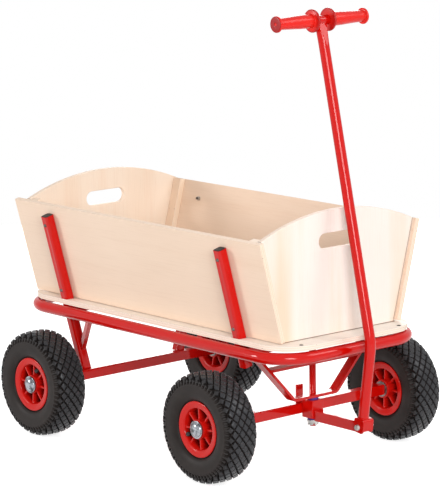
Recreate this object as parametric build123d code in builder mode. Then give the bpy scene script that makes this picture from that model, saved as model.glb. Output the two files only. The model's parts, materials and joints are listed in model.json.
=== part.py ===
from build123d import *
import os
from math import asin, copysign, cos, hypot, pi, radians, sin, tan

os.makedirs("parts", exist_ok=True)

# Driving dimensions in millimetres and degrees. X runs forward, Y to the left, Z up from the ground.
# Lengths called lead are measured forward from the front axle.

# Running gear
wheel_track = 588  # between the middle planes of the tyres
tyre_d = 260
tyre_half_w = 44
tyre_shoulder_r = 119
tyre_shoulder_half_w = 39
tyre_sidewall_r = 92  # where the tyre is widest
bead_gap = 0.1
lip_step = 2  # tyre clears the rim's flange by about this much
tyre_bead_half_w = 30.3
bead_t = 9
sidewall_t = 6
crown_t = 10
wall_round = 0.56  # power of the rounded-square section, 1 is an ellipse
wall_steps = 10
tread_depth = 6
lug_count = 24
groove_w = 11
groove_len = 36
groove_inset = 9
groove_turn = 24  # slant across the tread
groove_tilt = 32  # follows the fall of the shoulder

# Spoked rim
flange_r = 66
flange_half_w = 37
flange_lip_t = 3
dish_r = 49.5  # inner edge of the broad ring round the pockets
dish_half_w = 34.5
dish_waist_r = 46.5
dish_waist_y = 22
dish_floor_r = 44
well_r = 48
well_half_w = 16
bead_seat_r = 56
bead_seat_half_w = 31
hub_r = 23
hub_out = 36  # hub face to the tyre's middle plane, outer side
hub_in = 38
web_t = 8
rib_count = 8
rib_t = 4
rib_inset = 5  # from the ring's face down to the rib's edge
rib_bite = 1.5  # rib's end into the pocket's wall
bearing_r = 16
bearing_w = 11
bearing_shoulder = 5
journal_d = 16
bearing_gap = 0.06
press_gap = 0.05
washer_t = 2.5
washer_r = 19
end_play = 0.3
cap_r = 21
cap_h = 8.5
cap_t = 1.4
journal_tip = 4  # journal end beyond the outer washer
tube_centre_r = 88
tube_r = 27.5
tube_sides = 12
tube_wall = 2.2
valve_d = 8
valve_bore_d = 2.4
valve_hole_gap = 0.5
valve_root_r = 63
valve_root_y = 4.4
valve_tip_r = 31
valve_tip_y = 29

# Square and round tube
bar = 25
bar_wall = 2
bar_corner = 3
stake_corner = 6
rim_tube_d = 28
rim_tube_wall = 1.8
rim_bend_r = 92
rim_front_reach = 54  # rim tube's front beyond the side panels
rim_rear_reach = 29
rim_z = 297.7
weld_gap = 0.3

# Cargo box
lean = 15
floor_top = 327
floor_t = 12
floor_inset = 4  # board's long edges inside the rim tube's centre line
floor_over = 6  # board's ends beyond it
side_length = 921
side_lead = 135
side_height = 245
side_t = 12
side_foot_y = 189  # outer face of a side panel at its lower edge
side_lift = 2.5  # side panel's lower edge above the floor
end_t = 12
arch_end_z = 568
arch_top_z = 620
front_setback = 10.5  # end panel's outer face in from the side panel's end
rear_setback = 33
groove_play = 0.5
side_play = 0.8
seat_depth = 3
batten_w = 28
batten_t = 16
house_depth = 4  # groove in the side panel that holds the end panel
batten_drop = 1  # batten's top below the side panel's top edge
batten_foot = 6
hand_slot_l = 122
hand_slot_h = 36
hand_slot_z = 548
stake_length = 223  # above the side panel's lower edge
front_stake_lead = 4
rear_stake_inset = 140  # rear stake ahead of the side panel's rear end
rear_axle_step = 12  # rear axle ahead of the rear stakes
front_stake_tail = 72  # below the side panel's lower edge
bolt_d = 6
bolt_hole_gap = 0.25
bolt_head_d = 9
bolt_head_h = 2.6
bolt_low = 27
bolt_high = 201
nut_flats = 10
nut_t = 5
bolt_tail = 3
stake_hole_gap = 0.8

# Rear braces and front hanger
brace_t = 12
brace_top_step = 114  # brace's top ahead of the rear stakes
brace_foot_z = 200
flat_w = 26
flat_t = 7
hanger_flat_half = 67
hanger_top_half = 188
hanger_bend_r = 14
hanger_brace_z = 243
screw_d = 4.8
screw_gap = 0.2
screw_bite = 7
screw_head_d = 10
screw_head_h = 3
screw_spread = 220

# Steering
kingpin_lead = 32
kingpin_d = 16
pin_gap = 0.08
housing_l = 38
housing_w = 36
housing_low = 110
housing_top = 153
bush_r = 11
bush_flange_r = 13.5
bush_flange_t = 5.5
nut_washer_r = 15
castle_flats = 24
castle_t = 10
castle_slot_w = 4
castle_slot_depth = 4.6
kingpin_tail = 3
split_pin_d = 3.2
split_pin_l = 32
tab_w = 20
tab_t = 5
tab_top = 181
tab_low = 122
shank_l = 70
shank_gap = 0.2
tongue_z = 117
tongue_tip = 8
tongue_tip_r = 7

# Handle
hinge_lead = 202
hinge_d = 10
hinge_head_d = 15
hinge_head_h = 5
hinge_nut_t = 9
hinge_tail = 5
stem_d = 25
stem_wall = 2
stem_lean = 8.4  # forward, below the bend
stem_back = 12.5  # backward, above it
stem_bend_at = 199
stem_bend_r = 120
crossbar_z = 1050
crossbar_d = 22
crossbar_wall = 2
clevis_t = 3.5
clevis_gap = 0.4
clevis_top = 21.5
clevis_web_gap = 14.5
clevis_web_low = 6
clevis_back = 13
clevis_low = 12
clevis_corner = 6
grip_inner = 22
grip_outer = 138
grip_disc_r = 27
grip_disc_t = 6
grip_root_r = 15.2
grip_mid_r = 15
grip_end_r = 13
grip_rim_r = 19
grip_rim_t = 7
grip_cap_t = 3
grip_gap = 0.2

# Worked-out places
wheel_r = tyre_d / 2
rim_length = side_length + rim_front_reach + rim_rear_reach
rim_lead = side_lead + rim_front_reach
rear_stake_lead = side_lead - side_length + rear_stake_inset
wheelbase = -rear_stake_lead - rear_axle_step
tyre_bead_r = bead_seat_r + bead_gap
lean_sin = sin(radians(lean))
lean_cos = cos(radians(lean))
lean_tan = tan(radians(lean))
rim_r = rim_tube_d / 2
rim_top = rim_z + rim_r
floor_low = floor_top - floor_t
side_foot_z = floor_top + side_lift
stake_out_y = side_foot_y + bar / lean_cos  # stake's outer face at the panel's foot
rim_half_w = stake_out_y - (side_foot_z - rim_z) * lean_tan + (rim_r + weld_gap) / lean_cos

half_turn = radians(stem_lean + stem_back) / 2
mean_lean = radians(stem_lean - stem_back) / 2
bend_lead = hinge_lead + stem_bend_at * sin(radians(stem_lean))
bend_z = tongue_z + stem_bend_at * cos(radians(stem_lean))
bend_centre_lead = bend_lead - stem_bend_r / cos(half_turn) * cos(mean_lean)
front_reach = bend_centre_lead + stem_bend_r + stem_d / 2
rear_reach = rim_lead - rim_length
front_x = -(front_reach + rear_reach) / 2  # front axle, with the origin midway along the part
rear_x = front_x - wheelbase
kingpin_x = front_x + kingpin_lead
hinge_x = front_x + hinge_lead
bend_x = front_x + bend_lead
crossbar_x = bend_x - (crossbar_z - bend_z) * tan(radians(stem_back))
side_mid_x = front_x + side_lead - side_length / 2
side_front_x = front_x + side_lead
side_rear_x = side_front_x - side_length
front_panel_x = side_front_x - front_setback - end_t / 2
rear_panel_x = side_rear_x + rear_setback + end_t / 2
stakes = {"front": front_x + front_stake_lead, "rear": front_x + rear_stake_lead}
axle_z = wheel_r
axle_top = axle_z + bar / 2
tube_end_y = wheel_track / 2 - hub_in - end_play - washer_t
bolster_half = rim_half_w - rim_r - weld_gap


def save(piece, name):
    piece.label = name
    export_step(piece, f"parts/{name}.step")


def side_plane(side):
    """Plane of a side panel's outer face: x along the wagon, y up the lean, z outward."""
    return Plane(
        origin=(side_mid_x, side * side_foot_y, side_foot_z),
        x_dir=(-side, 0, 0),
        z_dir=(0, side * lean_cos, -lean_sin),
    )


def stake_plane(side, stake_x, along=0):
    """Plane square to a stake, at a distance along it from the side panel's lower edge."""
    out = (bar / 2) * lean_cos + along * lean_sin
    up = along * lean_cos - (bar / 2) * lean_sin
    return Plane(
        origin=(stake_x, side * (side_foot_y + out), side_foot_z + up),
        x_dir=(1, 0, 0),
        z_dir=(0, side * lean_sin, lean_cos),
    )


def stake_places(side):
    """Bolt places on a side panel's plane."""
    across = [-side * (x - side_mid_x) for x in stakes.values()]
    return [(x, y) for x in across for y in (bolt_low, bolt_high)]


# Wheel pieces are drawn round the Y axis, outer face towards -Y, and copied to the four corners.
def tyre_wall(half_w, rise):
    """Rounded-square arch over the tyre's widest radius, as corners of a revolved outline."""
    turns = [pi * step / wall_steps for step in range(wall_steps + 1)]
    arch = [(abs(sin(turn)) ** wall_round, cos(turn)) for turn in turns]
    return [
        (tyre_sidewall_r + rise * up, -half_w * copysign(abs(out) ** wall_round, out))
        for up, out in arch
    ]


with BuildPart(Plane.XZ) as tyre:
    with BuildSketch(Plane.XY):
        bead_in = tyre_bead_half_w - bead_t
        lip_r = flange_r + lip_step
        lip_out = tyre_bead_half_w + lip_step
        lip_in = lip_out - sidewall_t
        outer_wall = tyre_wall(tyre_half_w, wheel_r - tyre_sidewall_r)
        inner_wall = tyre_wall(tyre_half_w - sidewall_t, wheel_r - tyre_sidewall_r - crown_t)
        with BuildLine():
            Polyline(
                (tyre_bead_r, -bead_in),
                (tyre_bead_r, -tyre_bead_half_w),
                (lip_r, -lip_out),
                *outer_wall,
                (lip_r, lip_out),
                (tyre_bead_r, tyre_bead_half_w),
                (tyre_bead_r, bead_in),
                (lip_r, lip_in),
                *reversed(inner_wall),
                (lip_r, -lip_in),
                close=True,
            )
        make_face()
    revolve(axis=Axis.Y)
    # Slanted shoulder grooves, half a pitch apart on the two sides
    for edge in (-1, 1):
        with Locations((0, 0, edge * (tyre_shoulder_half_w - groove_inset))):
            start = (edge + 1) / 2 * 180 / lug_count
            with PolarLocations((tyre_shoulder_r + wheel_r) / 2, lug_count, start_angle=start):
                Box(
                    2 * tread_depth,
                    groove_w,
                    groove_len,
                    rotation=(edge * groove_turn, -edge * groove_tilt, 0),
                    mode=Mode.SUBTRACT,
                )

valve_line = hypot(valve_root_r - valve_tip_r, valve_tip_y - valve_root_y)
valve_plane = Plane(
    origin=(valve_root_r, -valve_root_y, 0),
    x_dir=(0, 0, 1),
    z_dir=(valve_tip_r - valve_root_r, valve_root_y - valve_tip_y, 0),
)

with BuildPart() as inner_tube:
    with BuildSketch(Plane.YZ):
        with Locations((0, tube_centre_r)):
            RegularPolygon(tube_r, tube_sides)
    revolve(axis=Axis.Y)
    with BuildSketch(valve_plane):
        Circle(valve_d / 2)
    extrude(amount=valve_line)
    with BuildSketch(Plane.YZ):
        with Locations((0, tube_centre_r)):
            RegularPolygon(tube_r - tube_wall, tube_sides)
    revolve(axis=Axis.Y, mode=Mode.SUBTRACT)
    with BuildSketch(valve_plane):
        Circle(valve_bore_d / 2)
    extrude(amount=valve_line, mode=Mode.SUBTRACT)

with BuildPart(Plane.XZ) as wheel_rim:
    with BuildSketch(Plane.XY):
        with BuildLine():
            Polyline(
                (bearing_r, -hub_out),
                (hub_r, -hub_out),
                (hub_r, -web_t / 2),
                (dish_floor_r, -web_t / 2),
                (dish_waist_r, -dish_waist_y),
                (dish_r, -dish_half_w),
                (flange_r - flange_lip_t, -flange_half_w),
                (flange_r, -flange_half_w + flange_lip_t / 2),
                (flange_r, -flange_half_w + flange_lip_t),
                (bead_seat_r, -bead_seat_half_w),
                (bead_seat_r, -bead_seat_half_w + bead_t),
                (well_r, -well_half_w + bead_t / 2),
                (well_r, well_half_w - bead_t / 2),
                (bead_seat_r, bead_seat_half_w - bead_t),
                (bead_seat_r, bead_seat_half_w),
                (flange_r, flange_half_w - flange_lip_t),
                (flange_r, flange_half_w - flange_lip_t / 2),
                (flange_r - flange_lip_t, flange_half_w),
                (dish_r, dish_half_w),
                (dish_waist_r, dish_waist_y),
                (dish_floor_r, web_t / 2),
                (hub_r, web_t / 2),
                (hub_r, hub_in),
                (bearing_r, hub_in),
                (bearing_r, hub_in - bearing_w),
                (bearing_r - bearing_shoulder, hub_in - bearing_w),
                (bearing_r - bearing_shoulder, -hub_out + bearing_w),
                (bearing_r, -hub_out + bearing_w),
                close=True,
            )
        make_face()
    revolve(axis=Axis.Y)
    rib_h = 2 * (dish_half_w - rib_inset)
    rib_end_r = dish_waist_r + rib_bite
    rib_l = rib_end_r - hub_r + rib_t / 2
    with PolarLocations(rib_end_r - rib_l / 2, rib_count, start_angle=180 / rib_count):
        Box(rib_l, rib_t, rib_h)
    with BuildSketch(valve_plane):
        Circle(valve_d / 2 + valve_hole_gap)
    extrude(amount=valve_line, mode=Mode.SUBTRACT)

with BuildPart() as bearings:
    for face_y in (-hub_out, hub_in - bearing_w):
        with BuildSketch(Plane.XZ.offset(-face_y)):
            Circle(bearing_r - press_gap)
            Circle(journal_d / 2 + bearing_gap, mode=Mode.SUBTRACT)
        extrude(amount=-bearing_w)

with BuildPart() as axle_washers:
    for face_y in (-hub_out - end_play - washer_t, hub_in + end_play):
        with BuildSketch(Plane.XZ.offset(-face_y)):
            Circle(washer_r)
            Circle(journal_d / 2 + bearing_gap, mode=Mode.SUBTRACT)
        extrude(amount=-washer_t)

cap_y = -hub_out - end_play - washer_t
cap_tip_y = cap_y - cap_h
dome_r = (cap_r**2 + cap_h**2) / (2 * cap_h)
dome_half = asin(cap_r / dome_r) / 2
with BuildPart() as hub_cap:
    with BuildSketch(Plane.XY):
        with BuildLine():
            Polyline((0, cap_tip_y), (0, cap_y), (cap_r, cap_y))
            ThreePointArc(
                (cap_r, cap_y),
                (dome_r * sin(dome_half), cap_tip_y + dome_r * (1 - cos(dome_half))),
                (0, cap_tip_y),
            )
        make_face()
    revolve(axis=Axis.Y)
    offset(amount=-cap_t, openings=hub_cap.faces().sort_by(Axis.Y)[-1])

stub_end_y = hub_in + end_play + washer_t
with BuildPart() as stub_axle:
    with BuildSketch(Plane.XZ.offset(-stub_end_y)):
        Rectangle(bar - 2 * bar_wall - shank_gap, bar - 2 * bar_wall - shank_gap)
    extrude(amount=-shank_l)
    with BuildSketch(Plane.XZ.offset(-stub_end_y)):
        Circle(journal_d / 2)
    extrude(amount=stub_end_y - cap_y + journal_tip)
    chamfer(stub_axle.faces().sort_by(Axis.Y)[0].edges(), journal_tip / 4)

wheels = {
    "front_right": (front_x, -1, 154),
    "front_left": (front_x, 1, 20),
    "rear_right": (rear_x, -1, -63),
    "rear_left": (rear_x, 1, 100),
}
axle_groups = {"front": [[], [], []], "rear": [[], [], []]}
for corner, (wheel_x, side, roll) in wheels.items():
    place = Location((wheel_x, side * wheel_track / 2, wheel_r), (0, 0, 90 + side * 90))
    rolled = place * Location((0, 0, 0), (0, roll, 0))
    save(tyre.part.moved(rolled), f"{corner}_tyre")
    save(inner_tube.part.moved(rolled), f"{corner}_inner_tube")
    save(wheel_rim.part.moved(rolled), f"{corner}_rim")
    save(bearings.part.moved(rolled), f"{corner}_bearings")
    groups = axle_groups[corner.split("_")[0]]
    for group, piece in zip(groups, (stub_axle, axle_washers, hub_cap)):
        group.extend(piece.part.moved(place).solids())
for end, groups in axle_groups.items():
    for group, name in zip(groups, ("stub_axles", "axle_washers", "hub_caps")):
        save(Compound(children=group), f"{end}_{name}")

# Rim tube: two bent halves that meet half way along the sides
rim_front_x = front_x + rim_lead - rim_r
rim_rear_x = front_x + rear_reach + rim_r
rim_joint_x = (rim_front_x + rim_rear_x) / 2
for name, end_x, way in (("front_rim_tube", rim_front_x, 1), ("rear_rim_tube", rim_rear_x, -1)):
    with BuildPart() as rim_half:
        with BuildLine(Plane.XY.offset(rim_z)):
            FilletPolyline(
                (rim_joint_x, -rim_half_w),
                (end_x, -rim_half_w),
                (end_x, rim_half_w),
                (rim_joint_x, rim_half_w),
                radius=rim_bend_r,
            )
        with BuildSketch(Plane((rim_joint_x, -rim_half_w, rim_z), z_dir=(way, 0, 0))):
            Circle(rim_r)
            Circle(rim_r - rim_tube_wall, mode=Mode.SUBTRACT)
        sweep()
    save(rim_half.part, name)

# Stakes: square tube, the rear pair running on down to the axle tube as legs
for end, stake_x in stakes.items():
    for side, hand in ((1, "left"), (-1, "right")):
        leg_reach = (side_foot_z - axle_top) / lean_cos + bar
        tail = leg_reach if end == "rear" else front_stake_tail
        with BuildPart() as stake:
            with BuildSketch(stake_plane(side, stake_x, -tail)):
                RectangleRounded(bar, bar, stake_corner)
                bore = bar - 2 * bar_wall
                RectangleRounded(bore, bore, stake_corner - bar_wall, mode=Mode.SUBTRACT)
            extrude(amount=tail + stake_length)
            with BuildSketch(side_plane(side)):
                with Locations(*stake_places(side)):
                    Circle(bolt_d / 2 + bolt_hole_gap)
            extrude(amount=2 * bar, mode=Mode.SUBTRACT)
            if end == "rear":
                split(bisect_by=Plane.XY.offset(axle_top + weld_gap), keep=Keep.TOP)
        save(stake.part, f"{end}_{hand}_stake")

# Rear cross tube between the rear stakes, and the front bolster between the rim tubes
inner_low = side_foot_y - (side_foot_z - floor_low + bar) * lean_tan - weld_gap
inner_top = side_foot_y - (side_foot_z - floor_low) * lean_tan - weld_gap
cross_ends = {"rear_cross_tube": (inner_low, inner_top), "front_bolster": (bolster_half, bolster_half)}
cross_x = {"rear_cross_tube": stakes["rear"], "front_bolster": kingpin_x}
for name, (low_half, top_half) in cross_ends.items():
    with BuildPart() as cross_tube:
        with BuildSketch(Plane.YZ.offset(cross_x[name])):
            with BuildLine():
                Polyline(
                    (-low_half, floor_low - bar),
                    (low_half, floor_low - bar),
                    (top_half, floor_low),
                    (-top_half, floor_low),
                    close=True,
                )
            make_face()
        extrude(amount=bar / 2, both=True)
        with Locations((cross_x[name], 0, floor_low - bar / 2)):
            hollow = bar - 2 * bar_wall
            Box(hollow, 2 * rim_half_w, hollow, mode=Mode.SUBTRACT)
        with BuildSketch(Plane.XY.offset(floor_low)):
            with Locations((cross_x[name], -screw_spread / 2), (cross_x[name], screw_spread / 2)):
                Circle(screw_d / 2 + screw_gap)
        extrude(amount=-bar, mode=Mode.SUBTRACT)
    save(cross_tube.part, name)

with BuildPart() as floor_screws:
    for screw_x in cross_x.values():
        for screw_y in (-screw_spread / 2, screw_spread / 2):
            with BuildSketch(Plane.XY.offset(floor_low - bar)):
                with Locations((screw_x, screw_y)):
                    Circle(screw_head_d / 2)
            extrude(amount=-screw_head_h)
            with BuildSketch(Plane.XY.offset(floor_low - bar)):
                with Locations((screw_x, screw_y)):
                    Circle(screw_d / 2)
            extrude(amount=bar + screw_bite)
save(floor_screws.part, "floor_screws")

# Plywood floor with holes for the stakes and shallow housings for the end panels
house_y = side_foot_y - (side_t - house_depth) / lean_cos  # floor of the groove at the panel's foot
end_foot_half = house_y - (side_lift + seat_depth) * lean_tan - side_play
seat_half = end_foot_half + (seat_depth + 2 * side_lift) * lean_tan + groove_play
with BuildPart() as floor_board:
    with BuildSketch(Plane.XY.offset(floor_low)):
        with Locations(((rim_front_x + rim_rear_x) / 2, 0)):
            RectangleRounded(
                rim_front_x - rim_rear_x + 2 * floor_over,
                2 * (rim_half_w - floor_inset),
                rim_bend_r - floor_inset,
            )
    extrude(amount=floor_t)
    for stake_x in stakes.values():
        for side in (-1, 1):
            with BuildSketch(stake_plane(side, stake_x, -2 * bar)):
                Rectangle(bar + 2 * stake_hole_gap, bar + 2 * stake_hole_gap)
            extrude(amount=4 * bar, mode=Mode.SUBTRACT)
    with BuildSketch(Plane.XY.offset(floor_top)):
        with Locations((front_panel_x, 0), (rear_panel_x, 0)):
            Rectangle(end_t + 2 * groove_play, 2 * seat_half)
    extrude(amount=-seat_depth, mode=Mode.SUBTRACT)
    with BuildSketch(Plane.XY.offset(floor_low)):
        for screw_x in cross_x.values():
            with Locations((screw_x, -screw_spread / 2), (screw_x, screw_spread / 2)):
                Circle(screw_d / 2 + screw_gap)
    extrude(amount=screw_bite + screw_gap, mode=Mode.SUBTRACT)
save(floor_board.part, "floor_board")

# Side panels with a groove and a batten for each end panel, bolted to the stakes
for side, hand in ((1, "left"), (-1, "right")):
    outer_face = side_plane(side)
    inner_face = outer_face.offset(-side_t)
    with BuildPart() as side_panel:
        with BuildSketch(outer_face):
            with Locations((0, side_height / 2)):
                Rectangle(side_length, side_height)
        extrude(amount=-side_t)
        with BuildSketch(outer_face):
            with Locations(*stake_places(side)):
                Circle(bolt_d / 2 + bolt_hole_gap)
        extrude(amount=-side_t, mode=Mode.SUBTRACT)
        with BuildSketch(inner_face):
            for panel_x in (front_panel_x, rear_panel_x):
                with Locations((-side * (panel_x - side_mid_x), side_height / 2)):
                    Rectangle(end_t + 2 * groove_play, side_height)
        extrude(amount=house_depth, mode=Mode.SUBTRACT)
    save(side_panel.part, f"{hand}_side_panel")

batten_h = side_height - batten_drop - batten_foot
batten_mid = batten_foot + batten_h / 2
with BuildPart() as panel_battens:
    for panel_x, way in ((front_panel_x, 1), (rear_panel_x, -1)):
        batten_x = panel_x - way * (end_t / 2 + groove_play + batten_w / 2)
        for side in (1, -1):
            with BuildSketch(side_plane(side).offset(-side_t)):
                with Locations((-side * (batten_x - side_mid_x), batten_mid)):
                    Rectangle(batten_w, batten_h)
            extrude(amount=-batten_t)
save(panel_battens.part, "panel_battens")

with BuildPart() as panel_bolts:
    for side in (1, -1):
        head_plane = side_plane(side).offset(bar)
        for x, y in stake_places(side):
            with BuildSketch(head_plane):
                with Locations((x, y)):
                    Circle(bolt_head_d / 2)
            extrude(amount=bolt_head_h, taper=30)
            with BuildSketch(head_plane):
                with Locations((x, y)):
                    Circle(bolt_d / 2)
            extrude(amount=-(bar + side_t + nut_t + bolt_tail))
save(panel_bolts.part, "panel_bolts")

with BuildPart() as panel_nuts:
    for side in (1, -1):
        with BuildSketch(side_plane(side).offset(-side_t)):
            with Locations(*stake_places(side)):
                RegularPolygon(nut_flats / 2, 6, major_radius=False)
                Circle(bolt_d / 2 + pin_gap, mode=Mode.SUBTRACT)
        extrude(amount=-nut_t)
save(panel_nuts.part, "panel_nuts")

# End panels: leaning sides, arched top and a slot for the hand
end_foot_z = floor_top - seat_depth
arch_half = end_foot_half + (arch_end_z - end_foot_z) * lean_tan
for name, panel_x in (("front_panel", front_panel_x), ("rear_panel", rear_panel_x)):
    with BuildPart() as end_panel:
        with BuildSketch(Plane.YZ.offset(panel_x)):
            with BuildLine():
                Polyline(
                    (-arch_half, arch_end_z),
                    (-end_foot_half, end_foot_z),
                    (end_foot_half, end_foot_z),
                    (arch_half, arch_end_z),
                )
                ThreePointArc((arch_half, arch_end_z), (0, arch_top_z), (-arch_half, arch_end_z))
            make_face()
            with Locations((0, hand_slot_z)):
                SlotOverall(hand_slot_l, hand_slot_h, mode=Mode.SUBTRACT)
        extrude(amount=end_t / 2, both=True)
    save(end_panel.part, name)

# Rear axle tube and front axle tube carry the stub axles in their ends
for name, tube_x in (("rear_axle_tube", rear_x), ("front_axle_tube", front_x)):
    with BuildPart() as axle_tube:
        with BuildSketch(Plane.XZ.offset(-tube_end_y)):
            with Locations((tube_x, axle_z)):
                RectangleRounded(bar, bar, bar_corner)
                Rectangle(bar - 2 * bar_wall, bar - 2 * bar_wall, mode=Mode.SUBTRACT)
        extrude(amount=2 * tube_end_y)
    save(axle_tube.part, name)

# Square bars from the rim tube down to the rear legs
leg_face_x = stakes["rear"] + bar / 2 + weld_gap
for side, hand in ((1, "left"), (-1, "right")):
    foot_y = side_foot_y + bar / 2 / lean_cos - (side_foot_z - brace_foot_z) * lean_tan
    top = Vector(stakes["rear"] + brace_top_step, side * rim_half_w, rim_z)
    foot = Vector(leg_face_x, side * foot_y, brace_foot_z)
    with BuildPart() as rear_brace:
        with BuildSketch(Plane(foot, x_dir=(0, 1, 0), z_dir=top - foot)):
            Rectangle(brace_t, brace_t)
        extrude(amount=(top - foot).length)
        extrude(rear_brace.faces().sort_by(Axis.Z)[0], amount=bar)
        split(bisect_by=Plane.YZ.offset(leg_face_x), keep=Keep.TOP)
        with Locations((top.X, top.Y, rim_z)):
            Cylinder(rim_r + weld_gap, rim_length, rotation=(0, 90, 0), mode=Mode.SUBTRACT)
        split(bisect_by=Plane.XY.offset(rim_z), keep=Keep.BOTTOM)
    save(rear_brace.part, f"{hand}_rear_brace")

# Flat bar bent to a U under the bolster, its short brace, and the kingpin through both
bolster_low = floor_low - bar
flat_low = housing_top + bush_flange_t
hanger_z = flat_low + flat_t / 2
arm_rise = bolster_low - hanger_z
arm_slope = (hanger_top_half - hanger_flat_half) / arm_rise
with BuildPart() as hanger:
    with BuildLine(Plane.YZ.offset(kingpin_x)):
        over = bar
        FilletPolyline(
            (-hanger_top_half - over * arm_slope, bolster_low + over),
            (-hanger_flat_half, hanger_z),
            (hanger_flat_half, hanger_z),
            (hanger_top_half + over * arm_slope, bolster_low + over),
            radius=hanger_bend_r,
        )
    start = (kingpin_x, -hanger_top_half - over * arm_slope, bolster_low + over)
    with BuildSketch(Plane(start, x_dir=(1, 0, 0), z_dir=(0, arm_slope, -1))):
        Rectangle(flat_w, flat_t)
    sweep()
    split(bisect_by=Plane.XY.offset(bolster_low), keep=Keep.BOTTOM)
    with BuildSketch(Plane.XY.offset(flat_low)):
        with Locations((kingpin_x, 0)):
            Circle(kingpin_d / 2 + pin_gap)
    extrude(amount=flat_t, mode=Mode.SUBTRACT)
save(hanger.part, "steering_hanger")

arm_half = flat_t / 2 * hypot(1, arm_slope) + weld_gap
brace_halves = [
    hanger_flat_half + (z - hanger_z) * arm_slope - arm_half
    for z in (hanger_brace_z - flat_t / 2, hanger_brace_z + flat_t / 2)
]
with BuildPart() as hanger_brace:
    with BuildSketch(Plane.YZ.offset(kingpin_x)):
        with BuildLine():
            Polyline(
                (-brace_halves[0], hanger_brace_z - flat_t / 2),
                (brace_halves[0], hanger_brace_z - flat_t / 2),
                (brace_halves[1], hanger_brace_z + flat_t / 2),
                (-brace_halves[1], hanger_brace_z + flat_t / 2),
                close=True,
            )
        make_face()
    extrude(amount=flat_w / 2, both=True)
    with BuildSketch(Plane.XY.offset(hanger_brace_z - flat_t / 2)):
        with Locations((kingpin_x, 0)):
            Circle(kingpin_d / 2 + pin_gap)
    extrude(amount=flat_t, mode=Mode.SUBTRACT)
save(hanger_brace.part, "hanger_brace")

castle_top = housing_low - bush_flange_t - washer_t
castle_low = castle_top - castle_t
split_pin_z = castle_low + castle_slot_depth / 2
with BuildPart() as kingpin:
    with BuildSketch(Plane.XY.offset(castle_low - kingpin_tail)):
        with Locations((kingpin_x, 0)):
            Circle(kingpin_d / 2)
    extrude(amount=bolster_low - castle_low + kingpin_tail)
    with Locations((kingpin_x, 0, split_pin_z)):
        Cylinder(split_pin_d / 2 + pin_gap, 2 * kingpin_d, rotation=(90, 0, 0), mode=Mode.SUBTRACT)
save(kingpin.part, "kingpin")

with BuildPart() as kingpin_washer:
    with BuildSketch(Plane.XY.offset(castle_top)):
        with Locations((kingpin_x, 0)):
            Circle(nut_washer_r)
            Circle(kingpin_d / 2 + pin_gap, mode=Mode.SUBTRACT)
    extrude(amount=washer_t - pin_gap)
save(kingpin_washer.part, "kingpin_washer")

with BuildPart() as castle_nut:
    with BuildSketch(Plane.XY.offset(castle_low)):
        with Locations((kingpin_x, 0)):
            RegularPolygon(castle_flats / 2, 6, major_radius=False, rotation=30)
            Circle(kingpin_d / 2 + pin_gap, mode=Mode.SUBTRACT)
    extrude(amount=castle_t)
    with BuildSketch(Plane.XY.offset(castle_low)):
        for turn in (0, 60, 120):
            with Locations((kingpin_x, 0)):
                Rectangle(castle_slot_w, 2 * castle_flats, rotation=turn)
    extrude(amount=castle_slot_depth, mode=Mode.SUBTRACT)
save(castle_nut.part, "castle_nut")

with BuildPart() as split_pin:
    with Locations((kingpin_x, 0, split_pin_z)):
        Cylinder(split_pin_d / 2, split_pin_l, rotation=(90, 0, 0))
save(split_pin.part, "split_pin")

# Steering assembly that turns on the kingpin
housing_mid_x = front_x + bar / 2 + housing_l / 2
with BuildPart() as kingpin_housing:
    with BuildSketch(Plane.XY.offset(housing_low)):
        with Locations((housing_mid_x, 0)):
            RectangleRounded(housing_l, housing_w, bar_corner)
        with Locations((kingpin_x, 0)):
            Circle(bush_r + press_gap, mode=Mode.SUBTRACT)
    extrude(amount=housing_top - housing_low)
save(kingpin_housing.part, "kingpin_housing")

housing_mid_z = (housing_low + housing_top) / 2
with BuildPart() as steering_bushes:
    for flange_z, way in ((housing_top, 1), (housing_low, -1)):
        with BuildSketch(Plane.XY.offset(flange_z)):
            with Locations((kingpin_x, 0)):
                Circle(bush_flange_r)
                Circle(kingpin_d / 2 + pin_gap, mode=Mode.SUBTRACT)
        extrude(amount=way * (bush_flange_t - pin_gap))
        with BuildSketch(Plane.XY.offset(flange_z)):
            with Locations((kingpin_x, 0)):
                Circle(bush_r)
                Circle(kingpin_d / 2 + pin_gap, mode=Mode.SUBTRACT)
        extrude(amount=-way * (abs(flange_z - housing_mid_z) - pin_gap))
save(steering_bushes.part, "steering_bushes")

tab_x = front_x - bar / 2 - tab_t / 2
with BuildPart() as stop_tab:
    with BuildSketch(Plane.YZ.offset(tab_x)):
        with Locations((0, (tab_low + tab_top) / 2)):
            RectangleRounded(tab_w, tab_top - tab_low, tab_t / 2)
    extrude(amount=tab_t / 2, both=True)
save(stop_tab.part, "stop_tab")

tongue_start = front_x + bar / 2 + housing_l
tongue_end = hinge_x + tongue_tip
with BuildPart() as tongue:
    with BuildSketch(Plane.XZ.offset(-bar / 2)):
        with Locations(((tongue_start + tongue_end) / 2, tongue_z)):
            Rectangle(tongue_end - tongue_start, bar)
    extrude(amount=bar)
    tip_edges = tongue.edges().filter_by(Axis.Y).group_by(Axis.X)[-1]
    fillet(tip_edges, tongue_tip_r)
    with BuildSketch(Plane.YZ.offset(tongue_start)):
        with Locations((0, tongue_z)):
            Rectangle(bar - 2 * bar_wall, bar - 2 * bar_wall)
    extrude(amount=hinge_x - hinge_d - tongue_start, mode=Mode.SUBTRACT)
    with Locations((hinge_x, 0, tongue_z)):
        Cylinder(hinge_d / 2 + pin_gap, 2 * bar, rotation=(90, 0, 0), mode=Mode.SUBTRACT)
save(tongue.part, "tongue")

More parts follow.
